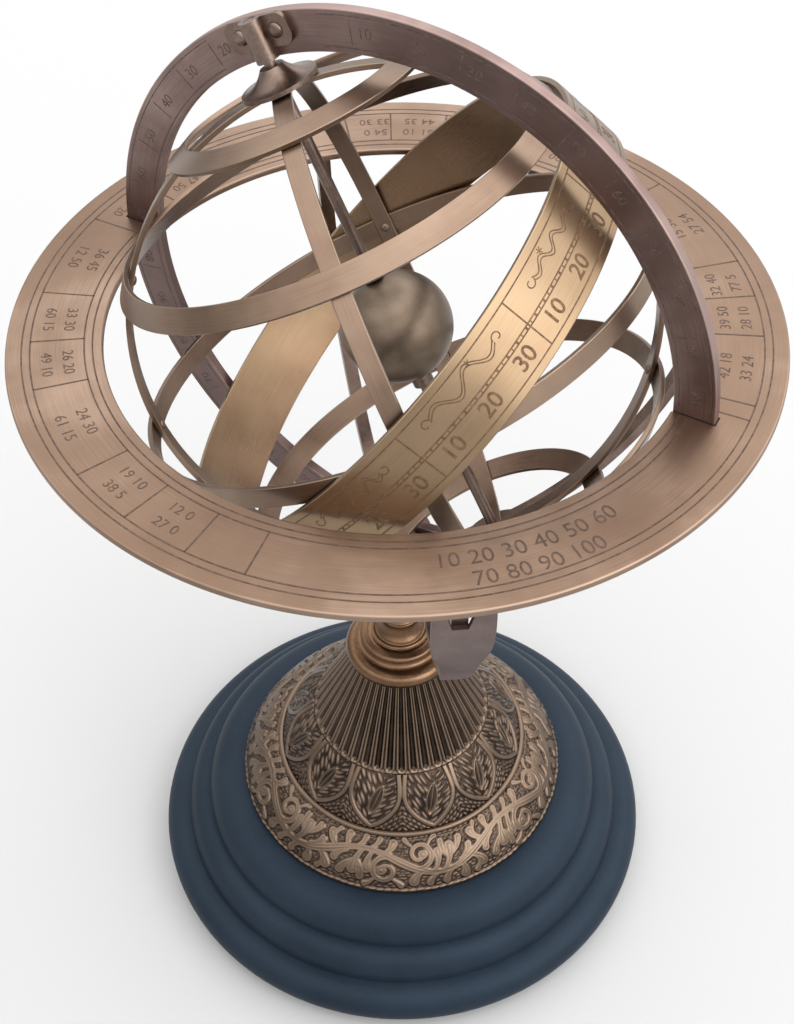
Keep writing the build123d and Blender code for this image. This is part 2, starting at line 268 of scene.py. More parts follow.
def makeRivetTree():
    # domed heads on the given points, each turned along its own outward direction
    tree, given = startTree("rivetHeads", Head="Float", Dome="Float")
    ball = addNode(tree, "GeometryNodeMeshUVSphere", {"Segments": 32, "Rings": 16, "Radius": 1.0})
    size = addNode(tree, "ShaderNodeCombineXYZ", {"X": given["Head"], "Y": given["Head"], "Z": given["Dome"]})
    head = addNode(tree, "GeometryNodeTransform", {"Geometry": ball, "Scale": size})
    outward = addNode(tree, "GeometryNodeInputNamedAttribute", {"Name": "outward"}, data_type="FLOAT_VECTOR")
    turn = addNode(tree, "FunctionNodeAlignRotationToVector", {"Vector": outward}, axis="Z")
    copies = addNode(tree, "GeometryNodeInstanceOnPoints",
                     {"Points": given["Geometry"], "Instance": head, "Rotation": turn})
    return finishTree(tree, given, copies)


hoopTree = makeHoopTree()
repeatTree = makeRepeatTree()
rivetTree = makeRivetTree()
print("geometry node trees made")


# Finishes
def startMaterial(name):
    material = bpy.data.materials.new(name)
    material.use_nodes = True
    tree = material.node_tree
    tree.nodes.clear()
    shader = tree.nodes.new("ShaderNodeBsdfPrincipled")
    setInputs(tree, tree.nodes.new("ShaderNodeOutputMaterial"), {"Surface": shader.outputs["BSDF"]})
    return material, tree, shader


def noiseField(tree, scale, detail, coordinates=None):
    # on the object's own coordinates unless others are given
    if coordinates is None:
        coordinates = tree.nodes.new("ShaderNodeTexCoord").outputs["Object"]
    return addNode(tree, "ShaderNodeTexNoise",
                   {"Vector": coordinates, "Scale": scale, "Detail": detail, "Roughness": 0.6})


def attributeOf(tree, name):
    node = tree.nodes.new("ShaderNodeAttribute")
    node.attribute_name = name
    return node.outputs["Fac"]


def colourRamp(tree, factor, places, colours):
    ramp = tree.nodes.new("ShaderNodeValToRGB")
    stops = ramp.color_ramp.elements
    while len(stops) < len(places):
        stops.new(0.5)
    for stop, place, colour in zip(stops, places, colours):
        stop.position = place
        stop.color = (*colour, 1)
    setInputs(tree, ramp, {"Fac": factor})
    return ramp.outputs["Color"]


def mapTo(tree, factor, low, high, start=0.3, end=0.7):
    return addNode(tree, "ShaderNodeMapRange", {
        "Value": factor, "From Min": start, "From Max": end, "To Min": low, "To Max": high})


def blendOf(tree, cloud, grain, cloudShare):
    return mathOf(tree, "MULTIPLY_ADD", cloud, cloudShare, mathOf(tree, "MULTIPLY", grain, 1 - cloudShare))


def brushedCoordinates(tree, along, across):
    uv = addNode(tree, "ShaderNodeUVMap", uv_map="strip")
    return addNode(tree, "ShaderNodeMapping", {"Vector": uv, "Scale": (along, across, 1)})


def joinShader(tree, shader, colour, rough, metal, grain, strength, depth=0.0002):
    bump = addNode(tree, "ShaderNodeBump", {"Height": grain, "Strength": strength, "Distance": depth})
    setInputs(tree, shader, {"Base Color": colour, "Roughness": rough, "Metallic": metal, "Normal": bump})


tarnish = {"cloudShare": 0.75, "grainScale": 1400, "brushing": (0.06, 5.0), "stops": (0.34, 0.5, 0.66)}
patina = {"grainScale": 1600, "uneven": 0.5, "stops": (0.05, 0.45, 0.95)}
paint = {"cloudScale": 35, "grainScale": 1100, "cloudShare": 0.7, "stops": (0.35, 0.65), "bump": 0.12}
fill = {"grainScale": 900, "lighter": 2.2, "stops": (0.35, 0.7), "roughness": 0.6, "metal": 0.6}


def agedBrass(name, look):
    # cloudy tarnish and fine grain; strips are brushed and have worn edges, partly real wear and partly painted
    # highlight, and painted shade on their inner faces
    material, tree, shader = startMaterial(name)
    cloud = noiseField(tree, look["cloudScale"], 4)
    if "wear" in look:
        grain = noiseField(tree, 1.0, 3, brushedCoordinates(tree, *tarnish["brushing"]))
    else:
        grain = noiseField(tree, tarnish["grainScale"], 2)
    blend = blendOf(tree, cloud, grain, tarnish["cloudShare"])
    if "wear" in look:
        # the attribute brightens edges and rims with wear and painted highlight, and darkens inner faces with painted
        # shade
        blend = mathOf(tree, "MULTIPLY_ADD", attributeOf(tree, "worn"), look["wear"], blend)
    colour = colourRamp(tree, blend, tarnish["stops"], look["tones"])
    joinShader(tree, shader, colour, mapTo(tree, blend, *look["roughness"]), 1.0, grain, look["bump"])
    return material


def rubbedRelief(name, look):
    # dark patina in the hollows, bright metal where the relief is rubbed
    material, tree, shader = startMaterial(name)
    cloud = noiseField(tree, look["cloudScale"], 5)
    grain = noiseField(tree, patina["grainScale"], 3)
    uneven = mathOf(tree, "SUBTRACT", cloud, 0.5)
    wear = mathOf(tree, "MULTIPLY_ADD", uneven, patina["uneven"], attributeOf(tree, "relief"))
    colour = colourRamp(tree, wear, patina["stops"], look["tones"])
    joinShader(tree, shader, colour, mapTo(tree, cloud, *look["roughness"]), 1.0, grain, look["bump"])
    return material


def engravedFill(name, colour):
    material, tree, shader = startMaterial(name)
    lighter = tuple(fill["lighter"] * part for part in colour)
    shades = colourRamp(tree, noiseField(tree, fill["grainScale"], 3), fill["stops"], (colour, lighter))
    setInputs(tree, shader, {"Base Color": shades, "Roughness": fill["roughness"], "Metallic": fill["metal"]})
    return material


def paintedWood(name, look):
    # satin paint over turned wood, a little cloudy and grainy
    material, tree, shader = startMaterial(name)
    cloud = noiseField(tree, paint["cloudScale"], 5)
    grain = noiseField(tree, paint["grainScale"], 3)
    blend = blendOf(tree, cloud, grain, paint["cloudShare"])
    colour = colourRamp(tree, blend, paint["stops"], look["tones"])
    joinShader(tree, shader, colour, mapTo(tree, blend, *look["roughness"]), 0.0, grain, paint["bump"])
    setInputs(tree, shader, {"Specular IOR Level": look["gloss"], "Specular Tint": (*look["sheen"], 1)})
    return material


# tones run from dark tarnish to bright metal; wear scales the edge attribute, which holds painted highlight and
# painted shade besides real wear
finishes = {
    "horizon": {"tones": ((0.141, 0.090, 0.062), (0.180, 0.119, 0.084), (0.282, 0.199, 0.149)),
        "roughness": (0.36, 0.48), "cloudScale": 22, "bump": 0.1, "wear": 0.17},
    "meridian": {"tones": ((0.125, 0.0853, 0.0777), (0.18, 0.123, 0.112), (0.318, 0.231, 0.209)),
        "roughness": (0.36, 0.5), "cloudScale": 28, "bump": 0.1, "wear": 0.16},
    "strip": {"tones": ((0.132, 0.085, 0.0606), (0.198, 0.136, 0.0985), (0.264, 0.19, 0.139)),
        "roughness": (0.26, 0.4), "cloudScale": 26, "bump": 0.1, "wear": 0.1},
    "zodiac": {"tones": ((0.174, 0.107, 0.066), (0.250, 0.173, 0.105), (0.306, 0.218, 0.143)),
        "roughness": (0.26, 0.4), "cloudScale": 20, "bump": 0.04, "wear": 0.1},
    "turned": {"tones": ((0.09, 0.05, 0.028), (0.13, 0.074, 0.042), (0.178, 0.104, 0.062)),
        "roughness": (0.22, 0.34), "cloudScale": 60, "bump": 0.02},
    "fitting": {"tones": ((0.112, 0.0771, 0.0635), (0.167, 0.118, 0.0953), (0.24, 0.176, 0.145)),
        "roughness": (0.26, 0.38), "cloudScale": 90, "bump": 0.08},
    "earth": {"tones": ((0.147, 0.109, 0.079), (0.175, 0.131, 0.097), (0.202, 0.155, 0.116)),
        "roughness": (0.36, 0.44), "cloudScale": 50, "bump": 0.03},
    "pewter": {"tones": ((0.131, 0.098, 0.0914), (0.175, 0.133, 0.124), (0.218, 0.168, 0.156)),
        "roughness": (0.45, 0.58), "cloudScale": 80, "bump": 0.08},
    "steel": {"tones": ((0.3, 0.3, 0.3), (0.42, 0.42, 0.42), (0.52, 0.52, 0.53)),
        "roughness": (0.3, 0.42), "cloudScale": 90, "bump": 0.06},
}
brass = {name: agedBrass(name + "Brass", look) for name, look in finishes.items()}
bellFinish = rubbedRelief("bellPatina", {
    "tones": ((0.026, 0.0185, 0.0145), (0.104, 0.073, 0.054), (0.2, 0.142, 0.1)),
    "roughness": (0.24, 0.38), "cloudScale": 120, "bump": 0.15})
darkFill = engravedFill("engravedFill", (0.052, 0.032, 0.023))
zodiacFill = engravedFill("zodiacFill", (0.075, 0.042, 0.022))
meridianFill = engravedFill("meridianFill", (0.07, 0.049, 0.042))
basePaint = paintedWood("basePaint", {
    "tones": ((0.0085, 0.0138, 0.0215), (0.0135, 0.0208, 0.0315)), "roughness": (0.4, 0.52),
    "gloss": 0.13, "sheen": (0.66, 0.84, 1.0)})
baseFelt = paintedWood("baseFelt", {
    "tones": ((0.006, 0.006, 0.007), (0.016, 0.016, 0.018)), "roughness": (0.9, 1.0),
    "gloss": 0.05, "sheen": (1.0, 1.0, 1.0)})
print("finishes made")


# Hoops of the cage, the meridian and the horizon
hoopKinds = {
    # rounding of the edges in mm; rim and inside say how rubbed the outer and inner faces are: a bright rim is partly
    # wear and partly painted highlight, a negative inside is painted shade
    "strip": {"body": "cage", "slot": "cage_brass", "rounding": 0.22, "rim": 0.0, "inside": -0.8},
    "zodiac": {"body": "cage", "slot": "zodiac_brass", "rounding": 0.25, "rim": 0.0, "inside": -1.2},
    "meridian": {"body": "meridian", "slot": "meridian_brass", "rounding": 0.35, "rim": 1.0, "inside": 0.0},
    "horizon": {"rounding": 0.5, "rim": 0.8, "inside": 0.0},
}
hoops = [
    # piece, node, kind and frame; latitude of the strip in degrees and how far it is sunk in mm, if not 0
    ("equinoxColure", "equinox_colure", "strip", equinoxFrame),
    ("solsticeColure", "solstice_colure", "strip", solsticeFrame, 0.0, 0.05),
    ("arcticCircle", "arctic_circle", "strip", polarCircleFrame, 64.0),
    ("antarcticCircle", "antarctic_circle", "strip", polarCircleFrame, -64.0),
    ("northTropic", "north_tropic", "strip", cageFrame, 35.6),
    ("southTropic", "south_tropic", "strip", cageFrame, -35.6),
    ("equatorRing", "equator_ring", "strip", cageFrame),
    ("zodiacBand", "zodiac_band", "zodiac", zodiacFrame),
    ("meridianRing", "meridian_ring", "meridian", meridianFrame, 0.0, 0.03),
]
hoopSteps = 288


def makeHoop(name, node, kind, matrix, latitude=0.0, sunk=0.0):
    look = hoopKinds[kind]
    latitude = math.radians(latitude)
    inner, outer, low, high = measureHoop(node, matrix, latitude)
    out, across = (inner + outer) / 2 - sunk * mm, (low + high) / 2
    piece = grown(name, newMesh(name), hoopTree, {
        "Radius": out * math.cos(latitude) - across * math.sin(latitude), "Wall": outer - inner,
        "Width": high - low, "Round": look["rounding"] * mm, "Lean": (0, 0, -latitude), "Steps": hoopSteps,
        "Material": brass[kind]})
    evenNormals(piece)
    settle(piece)
    height = out * math.sin(latitude) + across * math.cos(latitude)
    piece.data.transform(matrix @ Matrix.Translation((0, 0, height)))
    markStrip(piece.data, matrix, latitude, look["rim"], look["inside"])
    return piece


for name, node, kind, *places in hoops:
    dress(makeHoop(name, node, kind, *places), hoopKinds[kind]["body"], hoopKinds[kind]["slot"], node)
print("hoops made")

horizon = {"sunk": 0.03, "slotGap": 0.2, "slotHeight": 50.0}


def makeHorizon():
    ring = makeHoop("horizonRing", "horizon_ring", "horizon", Matrix.Identity(4), sunk=horizon["sunk"])
    inner, outer, back, front = measureHoop("meridian_ring", meridianFrame)
    gap = horizon["slotGap"] * mm
    cutter = addObject("slotCutter", simpleMesh("slotCutter", bmesh.ops.create_cube, size=1.0))
    size = Matrix.Diagonal((2 * (outer + gap), horizon["slotHeight"] * mm, front - back + 2 * gap, 1))
    cutter.data.transform(meridianFrame @ Matrix.Translation((0, 0, (front + back) / 2)) @ size)
    cut = ring.modifiers.new("slots", "BOOLEAN")
    cut.object = cutter
    cut.solver = "EXACT"
    evenNormals(ring)
    settle(ring)
    bpy.data.objects.remove(cutter)
    return ring


dress(makeHorizon(), "stand", "horizon_brass", "horizon_ring")
print("horizon made")


# Rivet heads: outside on the brackets, inside on the cage
rivets = {"cageRivets": {"head": 1.1, "dome": 0.6}, "bracketRivets": {"head": 1.7, "dome": 0.9}}


def rivetSolids(node):
    # the points of each rivet of the node
    source = bmesh.new()
    source.from_mesh(frame["nodes"][node].data)
    bmesh.ops.remove_doubles(source, verts=source.verts, dist=1e-6)
    solids, seen = [], set()
    for first in source.verts:
        if first in seen:
            continue
        seen.add(first)
        group = [first]
        for vert in group:
            joined = [edge.other_vert(vert) for edge in vert.link_edges]
            group += [other for other in joined if other not in seen]
            seen.update(joined)
        solids.append(np.array([vert.co for vert in group]))
    source.free()
    return solids


def makeRivets(name, body, nodes, headwardOf):
    look = rivets[name]
    places, directions = [], []
    for node in nodes:
        for points in rivetSolids(node):
            axisPoint = points.mean(axis=0)
            outward = headwardOf(axisPoint)
            top = (points @ outward).max() - look["dome"] * mm
            places.append(tuple(axisPoint + outward * (top - axisPoint @ outward)))
            directions.append(outward)
    mesh = newMesh(name, places)
    outward = mesh.attributes.new("outward", "FLOAT_VECTOR", "POINT")
    outward.data.foreach_set("vector", np.array(directions).ravel())
    piece = grown(name, mesh, rivetTree, {
        "Head": look["head"] * mm, "Dome": look["dome"] * mm, "Material": brass["fitting"]})
    return dress(settle(piece), body, "rivet_brass", *nodes)


makeRivets("cageRivets", "cage",
           ["north_tropic_rivets", "south_tropic_rivets", "solstice_rivets", "equinox_rivets"],
           lambda point: np.array((centre - Vector(point)).normalized()))
makeRivets("bracketRivets", "meridian", ["north_bracket_rivets", "south_bracket_rivets"],
           lambda point: np.array(faceOut))
print("rivets made")


# Engraving: strokes and numbers, laid on a ring by a mapping from (along, across, height) in mm
engravingDepth = 0.03  # above and below the face


@functools.cache
def numberMesh(words, size, bold):
    curve = bpy.data.curves.new("number", "FONT")
    curve.body = words
    curve.size = size
    curve.offset = bold
    curve.extrude = engravingDepth
    curve.resolution_u = 3
    curve.align_x = "CENTER"
    curve.align_y = "CENTER"
    holder = addObject("number", curve)
    mesh = builtMesh(holder)
    shape = meshPoints(mesh), [tuple(face.vertices) for face in mesh.polygons]
    bpy.data.objects.remove(holder)
    bpy.data.meshes.remove(mesh)
    return shape


def newEngraving():
    return {"points": [], "faces": []}


def addShape(engraving, points, faces):
    start = len(engraving["points"])
    engraving["points"].extend(map(tuple, points))
    engraving["faces"].extend(tuple(start + v for v in face) for face in faces)


def addNumber(engraving, mapping, words, along, across, size, bold=0.0):
    points, faces = numberMesh(words, size, bold)
    addShape(engraving, mapping(along + points[:, 0], across + points[:, 1], points[:, 2]), faces)


def addStroke(engraving, mapping, path, width):
    # a raised ribbon along a path of (along, across) points
    path = np.asarray(path, float)
    ahead = np.gradient(path, axis=0)
    ahead /= np.linalg.norm(ahead, axis=1)[:, None] + 1e-9
    side = np.stack([-ahead[:, 1], ahead[:, 0]], axis=1) * width / 2
    depth = engravingDepth
    rows = []
    for offset, height in ((side, -depth), (-side, -depth), (-side, depth), (side, depth)):
        rows.append(mapping(*(path + offset).T, np.full(len(path), height)))
    points = np.stack(rows, axis=1).reshape(-1, 3)
    faces = [(0, 1, 2, 3)]
    for i in range(len(path) - 1):
        for k in range(4):
            a, b = 4 * i + k, 4 * i + (k + 1) % 4
            faces.append((b, a, a + 4, b + 4))
    last = 4 * (len(path) - 1)
    faces.append((last + 3, last + 2, last + 1, last))
    addShape(engraving, points, faces)


def lineOf(start, end, steps):
    return np.linspace(start, end, steps + 1)


def ringStroke(engraving, mapping, angles, radii, middle, width):
    # angles in degrees; drawn true to size at the middle radius
    scale = math.radians(1) * middle
    path = np.stack(np.broadcast_arrays(angles * scale, radii), axis=1)
    addStroke(engraving, lambda along, radius, height: mapping(along / scale, radius, height), path, width)


def ringNumber(engraving, mapping, words, angle, radius, size, facing=1):
    # facing 1 has its foot outward, -1 inward
    scale = math.radians(facing) * radius
    addNumber(engraving, lambda x, y, height: mapping(angle + x / scale, radius - facing * y, height),
              words, 0, 0, size)


def endEngraving(engraving, name, material, body, slot):
    mesh = newMesh(name, engraving["points"], engraving["faces"])
    shape = bmesh.new()
    shape.from_mesh(mesh)
    bmesh.ops.recalc_face_normals(shape, faces=shape.faces)
    shape.to_mesh(mesh)
    shape.free()
    mesh.materials.append(material)
    return dress(addObject(name, mesh), body, slot)


# Horizon engraving: circles, cells and plain numbers, with azimuths in degrees
horizonMarks = {
    "circles": (81.4, 79.6), "splitCircles": (68.0, 66.2), "circleStep": 1.5, "line": 0.36,
    "cell": (68.0, 79.6), "cellSteps": 8, "rows": (71.6, 76.2), "numberSize": 3.4, "wideSize": 3.6,
    "frontSize": 5.2, "slotAngle": -29.75, "slotClear": (0.6, 4.4), "pairLead": 5.4,
    "pairCells": (-121.0, -132.2, -163.9, -175.2, 152.2, 140.0, 99.2, 90.75, 60.5, 49.0, 13.6, 4.5),
    "dividers": (-111.5, -121.0, -132.2, -143.6, -163.9, -175.2, 172.6, 152.2, 140.0, 127.0, 99.2, 90.75, 80.5,
                 60.5, 49.0, 37.5, 13.6, 4.5, -5.35, -21.7, -25.1),
    "wideCells": ((-153.7, "24 30", "61 15"), (162.4, "36 45", "12 50"), (113.0, "48 20", "35 10"),
                  (70.5, "52 15", "19 40"), (25.5, "15 36", "27 54"), (-13.5, "42 18", "33 24")),
    "front": (("10 20 30 40 50 60", -69.5, 71.8), ("70 80 90 100", -69.5, 77.2)),
}


def engraveHorizon():
    marks = horizonMarks
    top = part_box("horizon_ring")[1][2] / mm
    engraving = newEngraving()

    def onHorizon(angle, radius, height):
        return aroundZ(radius, np.radians(angle), top + height)

    def circle(radius, start, end):
        angles = lineOf(start, end, int((end - start) / marks["circleStep"]))
        ringStroke(engraving, onHorizon, angles, radius, radius, marks["line"])

    near, far = marks["slotClear"]
    slot = marks["slotAngle"]
    for radius in marks["circles"]:
        circle(radius, 0, 360)
    for radius in marks["splitCircles"]:
        circle(radius, slot + far, slot + 180 - far)
        circle(radius, slot + 180 - near, slot + 360 + near)
    for azimuth in marks["dividers"]:
        radii = lineOf(*marks["cell"], marks["cellSteps"])
        ringStroke(engraving, onHorizon, azimuth, radii, marks["cell"][0], marks["line"])
    for index, azimuth in enumerate(marks["pairCells"]):
        # numbers without a meaning
        words = f"{12 + 7 * index % 50} {10 * (index % 6)}", f"{27 + 11 * index % 60} {5 * (index % 9)}"
        for line, radius in zip(words, marks["rows"]):
            ringNumber(engraving, onHorizon, line, azimuth - marks["pairLead"], radius, marks["numberSize"])
    for azimuth, *words in marks["wideCells"]:
        for line, radius in zip(words, marks["rows"]):
            ringNumber(engraving, onHorizon, line, azimuth, radius, marks["wideSize"])
    for line, azimuth, radius in marks["front"]:
        ringNumber(engraving, onHorizon, line, azimuth, radius, marks["frontSize"])
    return endEngraving(engraving, "horizonEngraving", darkFill, "stand", "horizon_brass")


engraveHorizon()

# Meridian engraving: two lines and a mark and number every ten degrees
meridianMarks = {
    "lines": (65.6, 72.4), "lineSteps": 100, "mark": (66.4, 71.6), "markSteps": 4, "line": 0.25,
    "numberRow": 69.0, "size": 3.4, "first": 7.9, "step": 10, "marks": 16, "numberLead": 2.6,
    "clear": 12.0}


def engraveMeridian():
    marks = meridianMarks
    face = measureHoop("meridian_ring", meridianFrame)[3] / mm
    poleAngle = math.degrees(math.atan2(pole.z, pole.dot(meridianFrame.col[0].xyz)))
    engraving = newEngraving()

    def onFace(angle, radius, height):
        return placed(aroundZ(radius, np.radians(angle), face + height), meridianFrame)

    row = marks["numberRow"]
    for side in (0, 180):
        first = poleAngle + side
        angles = lineOf(first + marks["clear"], first + 180 - marks["clear"], marks["lineSteps"])
        for radius in marks["lines"]:
            ringStroke(engraving, onFace, angles, radius, radius, marks["line"])
        for index in range(1, marks["marks"] + 1):
            angle = first + 180 - marks["first"] - marks["step"] * index
            radii = lineOf(*marks["mark"], marks["markSteps"])
            ringStroke(engraving, onFace, angle, radii, row, marks["line"])
            value = min(marks["step"] * index, 180 - marks["step"] * index)  # up to 90 and down again
            ringNumber(engraving, onFace, str(value), angle - marks["numberLead"], row, marks["size"], -1)
    return endEngraving(engraving, "meridianEngraving", meridianFill, "meridian", "meridian_brass")


engraveMeridian()

# Zodiac engraving: borders, cells, a ladder scale, wave signs and plain numbers
zodiacMarks = {
    "border": 6.5, "borderSteps": 240, "line": 0.3, "cellLine": 0.34, "firstCell": 2.0, "cells": 12,
    "ladder": (-0.1, -0.9), "rungs": 20, "rungLines": (0.24, 0.5), "numberRow": -3.7, "size": 5.0,
    "bold": 0.06, "signRow": 3.3}
signs = {
    "line": 0.26, "reach": 8.5, "rows": (0.0, 0.75), "swell": 0.25, "taper": 0.4, "curl": 1.25,
    "curlTurn": 1.6 * math.pi, "curlAt": (1.1, 0.35), "star": (3.2, 2.0), "starArm": 0.8, "starLine": 0.2}


def drawSign(engraving, mapping, along, across, index):
    # a wave with curled ends and a small star, different in each cell
    odd = 1 if index % 2 else -1
    waves = 2 + index % 3
    reach = signs["reach"] + index % 2
    sweep = np.linspace(-1, 1, 60)
    swing = (1.0 + signs["swell"] * (index % 4)) * np.sin(math.pi * waves * sweep)
    for lift in signs["rows"]:
        height = swing * (1 - signs["taper"] * sweep**2) + lift
        addStroke(engraving, mapping, np.stack([along + reach * sweep, across + height], axis=1), signs["line"])
    turn = np.linspace(0, signs["curlTurn"], 26)
    curl = signs["curl"] * (1 - turn / 8)
    ahead, above = signs["curlAt"]
    for side in (-1, 1):
        x = along + side * (reach + ahead - curl * np.cos(turn))
        y = across + above + curl * np.sin(turn) * odd
        addStroke(engraving, mapping, np.stack([x, y], axis=1), signs["line"])
    star = np.array([along + signs["star"][0] * odd, across + signs["star"][1]])
    for ray in range(3):
        angle = ray * math.pi / 3 + 0.2 * index
        arm = np.array([math.cos(angle), math.sin(angle)]) * signs["starArm"]
        addStroke(engraving, mapping, [star - arm, star + arm], signs["starLine"])


def engraveZodiac():
    marks = zodiacMarks
    radius = measureHoop("zodiac_band", zodiacFrame)[1] / mm
    border = marks["border"]
    engraving = newEngraving()

    def onBand(along, across, height):
        return placed(aroundZ(radius + height, along / radius, across), zodiacFrame)

    length = 2 * math.pi * radius
    cell = length / marks["cells"]
    start = math.radians(marks["firstCell"]) * radius
    for across in (border, -border, *marks["ladder"]):
        path = [(along, across) for along in lineOf(0, length, marks["borderSteps"])]
        addStroke(engraving, onBand, path, marks["line"])
    for index in range(marks["cells"]):
        left = start + index * cell
        addStroke(engraving, onBand, [(left, across) for across in lineOf(-border, border, 4)], marks["cellLine"])
        for rung in range(marks["rungs"]):
            along = left + (rung + 0.5) * cell / marks["rungs"]
            path = [(along, across) for across in marks["ladder"]]
            addStroke(engraving, onBand, path, marks["rungLines"][rung % 2])
        for third in range(3):
            addNumber(engraving, onBand, str(10 * (third + 1)), left + (third + 0.5) * cell / 3, marks["numberRow"],
                      marks["size"], marks["bold"])
        drawSign(engraving, onBand, left + cell / 2, marks["signRow"], index)
    return endEngraving(engraving, "zodiacEngraving", zodiacFill, "cage", "zodiac_brass")


engraveZodiac()
print("engraving made")


# Bell: three bands of relief, each one sector repeated round the axis, and plain rings
bell = {
    "rim": 45.4, "lip": 1.2, "lipInset": 0.35, "bead": 33.9, "beadHeight": 12.3, "girdle": 24.2,
    "girdleHeight": 26.3, "top": 12.5, "scrollBow": 1.6, "petalBow": 0.9, "wall": 1.0, "weld": 0.004,
    "ringSteps": 240, "roundSteps": 20}
bellFoot, bellHead = (corner[2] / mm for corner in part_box("embossed_bell"))


def bowedLine(start, end, bow, share):
    # points and outward normals along an arc that bulges by bow from its chord
    share = share[:, None]
    start, end = np.array(start), np.array(end)
    chord = end - start
    out = np.array([chord[1], -chord[0]]) / np.linalg.norm(chord)
    ahead = chord + out * 4 * bow * (1 - 2 * share)
    normals = np.stack([ahead[:, 1], -ahead[:, 0]], axis=1)
    return (start + chord * share + out * 4 * bow * share * (1 - share),
            normals / np.linalg.norm(normals, axis=1, keepdims=True))


def reliefSector(name, start, end, bow, look, relief):
    # one closed sector of a band: relief outside, plain inside
    count = look["count"]
    columns, rows = look["grid"]
    share = np.linspace(0, 1, rows + 1)
    turn = np.linspace(-math.pi / count, math.pi / count, columns + 1)
    points, normals = bowedLine(start, end, bow, share)
    along = turn * points[:, :1]
    height, tone = relief(along, share[:, None] + 0 * along, turn * count / math.pi + 0 * along)
    back = (points - normals * bell["wall"])[[-1, 0]]
    radius = np.vstack([points[:, :1] + normals[:, :1] * height, back[:, :1] + 0 * turn])
    level = np.vstack([points[:, 1:] + normals[:, 1:] * height, back[:, 1:] + 0 * turn])
    tone = np.vstack([tone, np.zeros((2, columns + 1))])
    grid = aroundZ(radius, turn + math.radians(look["lead"]), level)
    mesh = newMesh(name, grid.tolist(), gridFaces(rows + 3, columns + 1, columns))
    pointValues(mesh, "relief", tone)
    piece = grown(name, mesh, repeatTree, {"Count": count, "Weld": bell["weld"] * mm, "Material": bellFinish})
    return dress(settle(piece), "stand", "bell_brass", "embossed_bell")


def smoothStep(low, high, value):
    share = np.clip((value - low) / (high - low), 0, 1)
    return share * share * (3 - 2 * share)


def hump(value, width):
    return np.exp(-(value / width) ** 2)


def raised(layers, look):
    # height and tone of a relief; each layer has a weight for both
    height = sum(weights[0] * layers[name] for name, weights in look["layers"].items())
    tone = sum(weights[1] * layers[name] for name, weights in look["layers"].items())
    return height, np.clip(look["ground"] + tone, 0, 1)


def pebbles(x, y, pitch, size, wobble=0.18):
    # rows of round grains, each row shifted by half a pitch
    row = np.floor(y / pitch)
    shifted = x / pitch + 0.5 * (row % 2)
    column = np.floor(shifted)
    dx = shifted - column - 0.5 + wobble * np.sin(12.9 * column + 78.2 * row)
    dy = y / pitch - row - 0.5 + wobble * np.cos(39.3 * column + 11.1 * row)
    return np.sqrt(np.clip(1 - (dx * dx + dy * dy) / size**2, 0, 1))


# heights of the reliefs are in mm; tones run from 0, dark patina, to 1, rubbed bright
flutes = {
    "count": 44, "grid": (24, 72), "lead": 0.0, "band": 26.2, "foot": 0.75, "channel": 0.55, "border": 0.28,
    "borderWidth": 0.55, "gapSoft": 0.12, "girdle": (0.4, 0.7), "girdleRise": 0.15, "topFade": 0.4, "ground": 0.36,
    "layers": {"ridge": (0.14, 0.6), "channel": (-0.85, -0.24), "openGap": (-0.4, 0), "gap": (0, -0.14),
               "girdle": (0, 0.3)}}


def fluteRelief(along, share, across):
    # dark channels with a round lower end and a thin border
    up = share * flutes["band"]
    halfPitch = math.pi / flutes["count"] * (bell["girdle"] + (bell["top"] - bell["girdle"]) * share)
    reach = flutes["channel"] * halfPitch
    endAt = flutes["foot"] + reach.max()
    endGap = reach.max() - np.hypot(along, endAt - up)
    inside = np.where(up < endAt, endGap, reach - np.abs(along)) / halfPitch
    border = flutes["border"]
    girdle = 1 - smoothStep(*flutes["girdle"], up)
    gap = smoothStep(border, border + flutes["gapSoft"], -inside)
    layers = {"girdle": girdle, "gap": gap, "openGap": gap * (1 - girdle),
              "channel": 1 - (1 - np.clip(inside / flutes["channel"], 0, 1)) ** 2,
              "ridge": hump(inside + 0.5 * border, flutes["borderWidth"] * border)}
    height, tone = raised(layers, flutes)
    return (1 - flutes["topFade"] * share) * height + flutes["girdleRise"] * girdle, tone


petals = {
    "count": 12, "grid": (88, 84), "lead": 15.0, "band": 17.0, "headRoom": 0.3, "tip": 0.9, "shoulder": 11.4,
    "overlap": 0.2, "fullness": 0.8, "pinch": 0.1, "border": 1.35, "rimSoft": (-0.15, 0.25),
    "borderSoft": (-0.25, 0.2), "innerSoft": (0.1, 0.4), "leafAt": (0.5, 9.2), "leafLean": 17.0, "leafLength": 4.8,
    "leafWidth": 1.4, "leafLine": 0.3, "veinLine": 0.2, "leafClear": (-0.5, -0.2), "fleck": (1.7, 0.44),
    "stroke": (1.15, 0.5), "outside": (-0.6, -0.25), "sill": (0.35, 0.7), "ground": 0.1,
    "layers": {"border": (0.6, 0.56), "flecks": (0.42, 0.5), "leafEdge": (0.4, 0.52), "vein": (0.34, 0.44),
               "strokes": (0.32, 0.36), "sill": (0.35, 0.2)}}


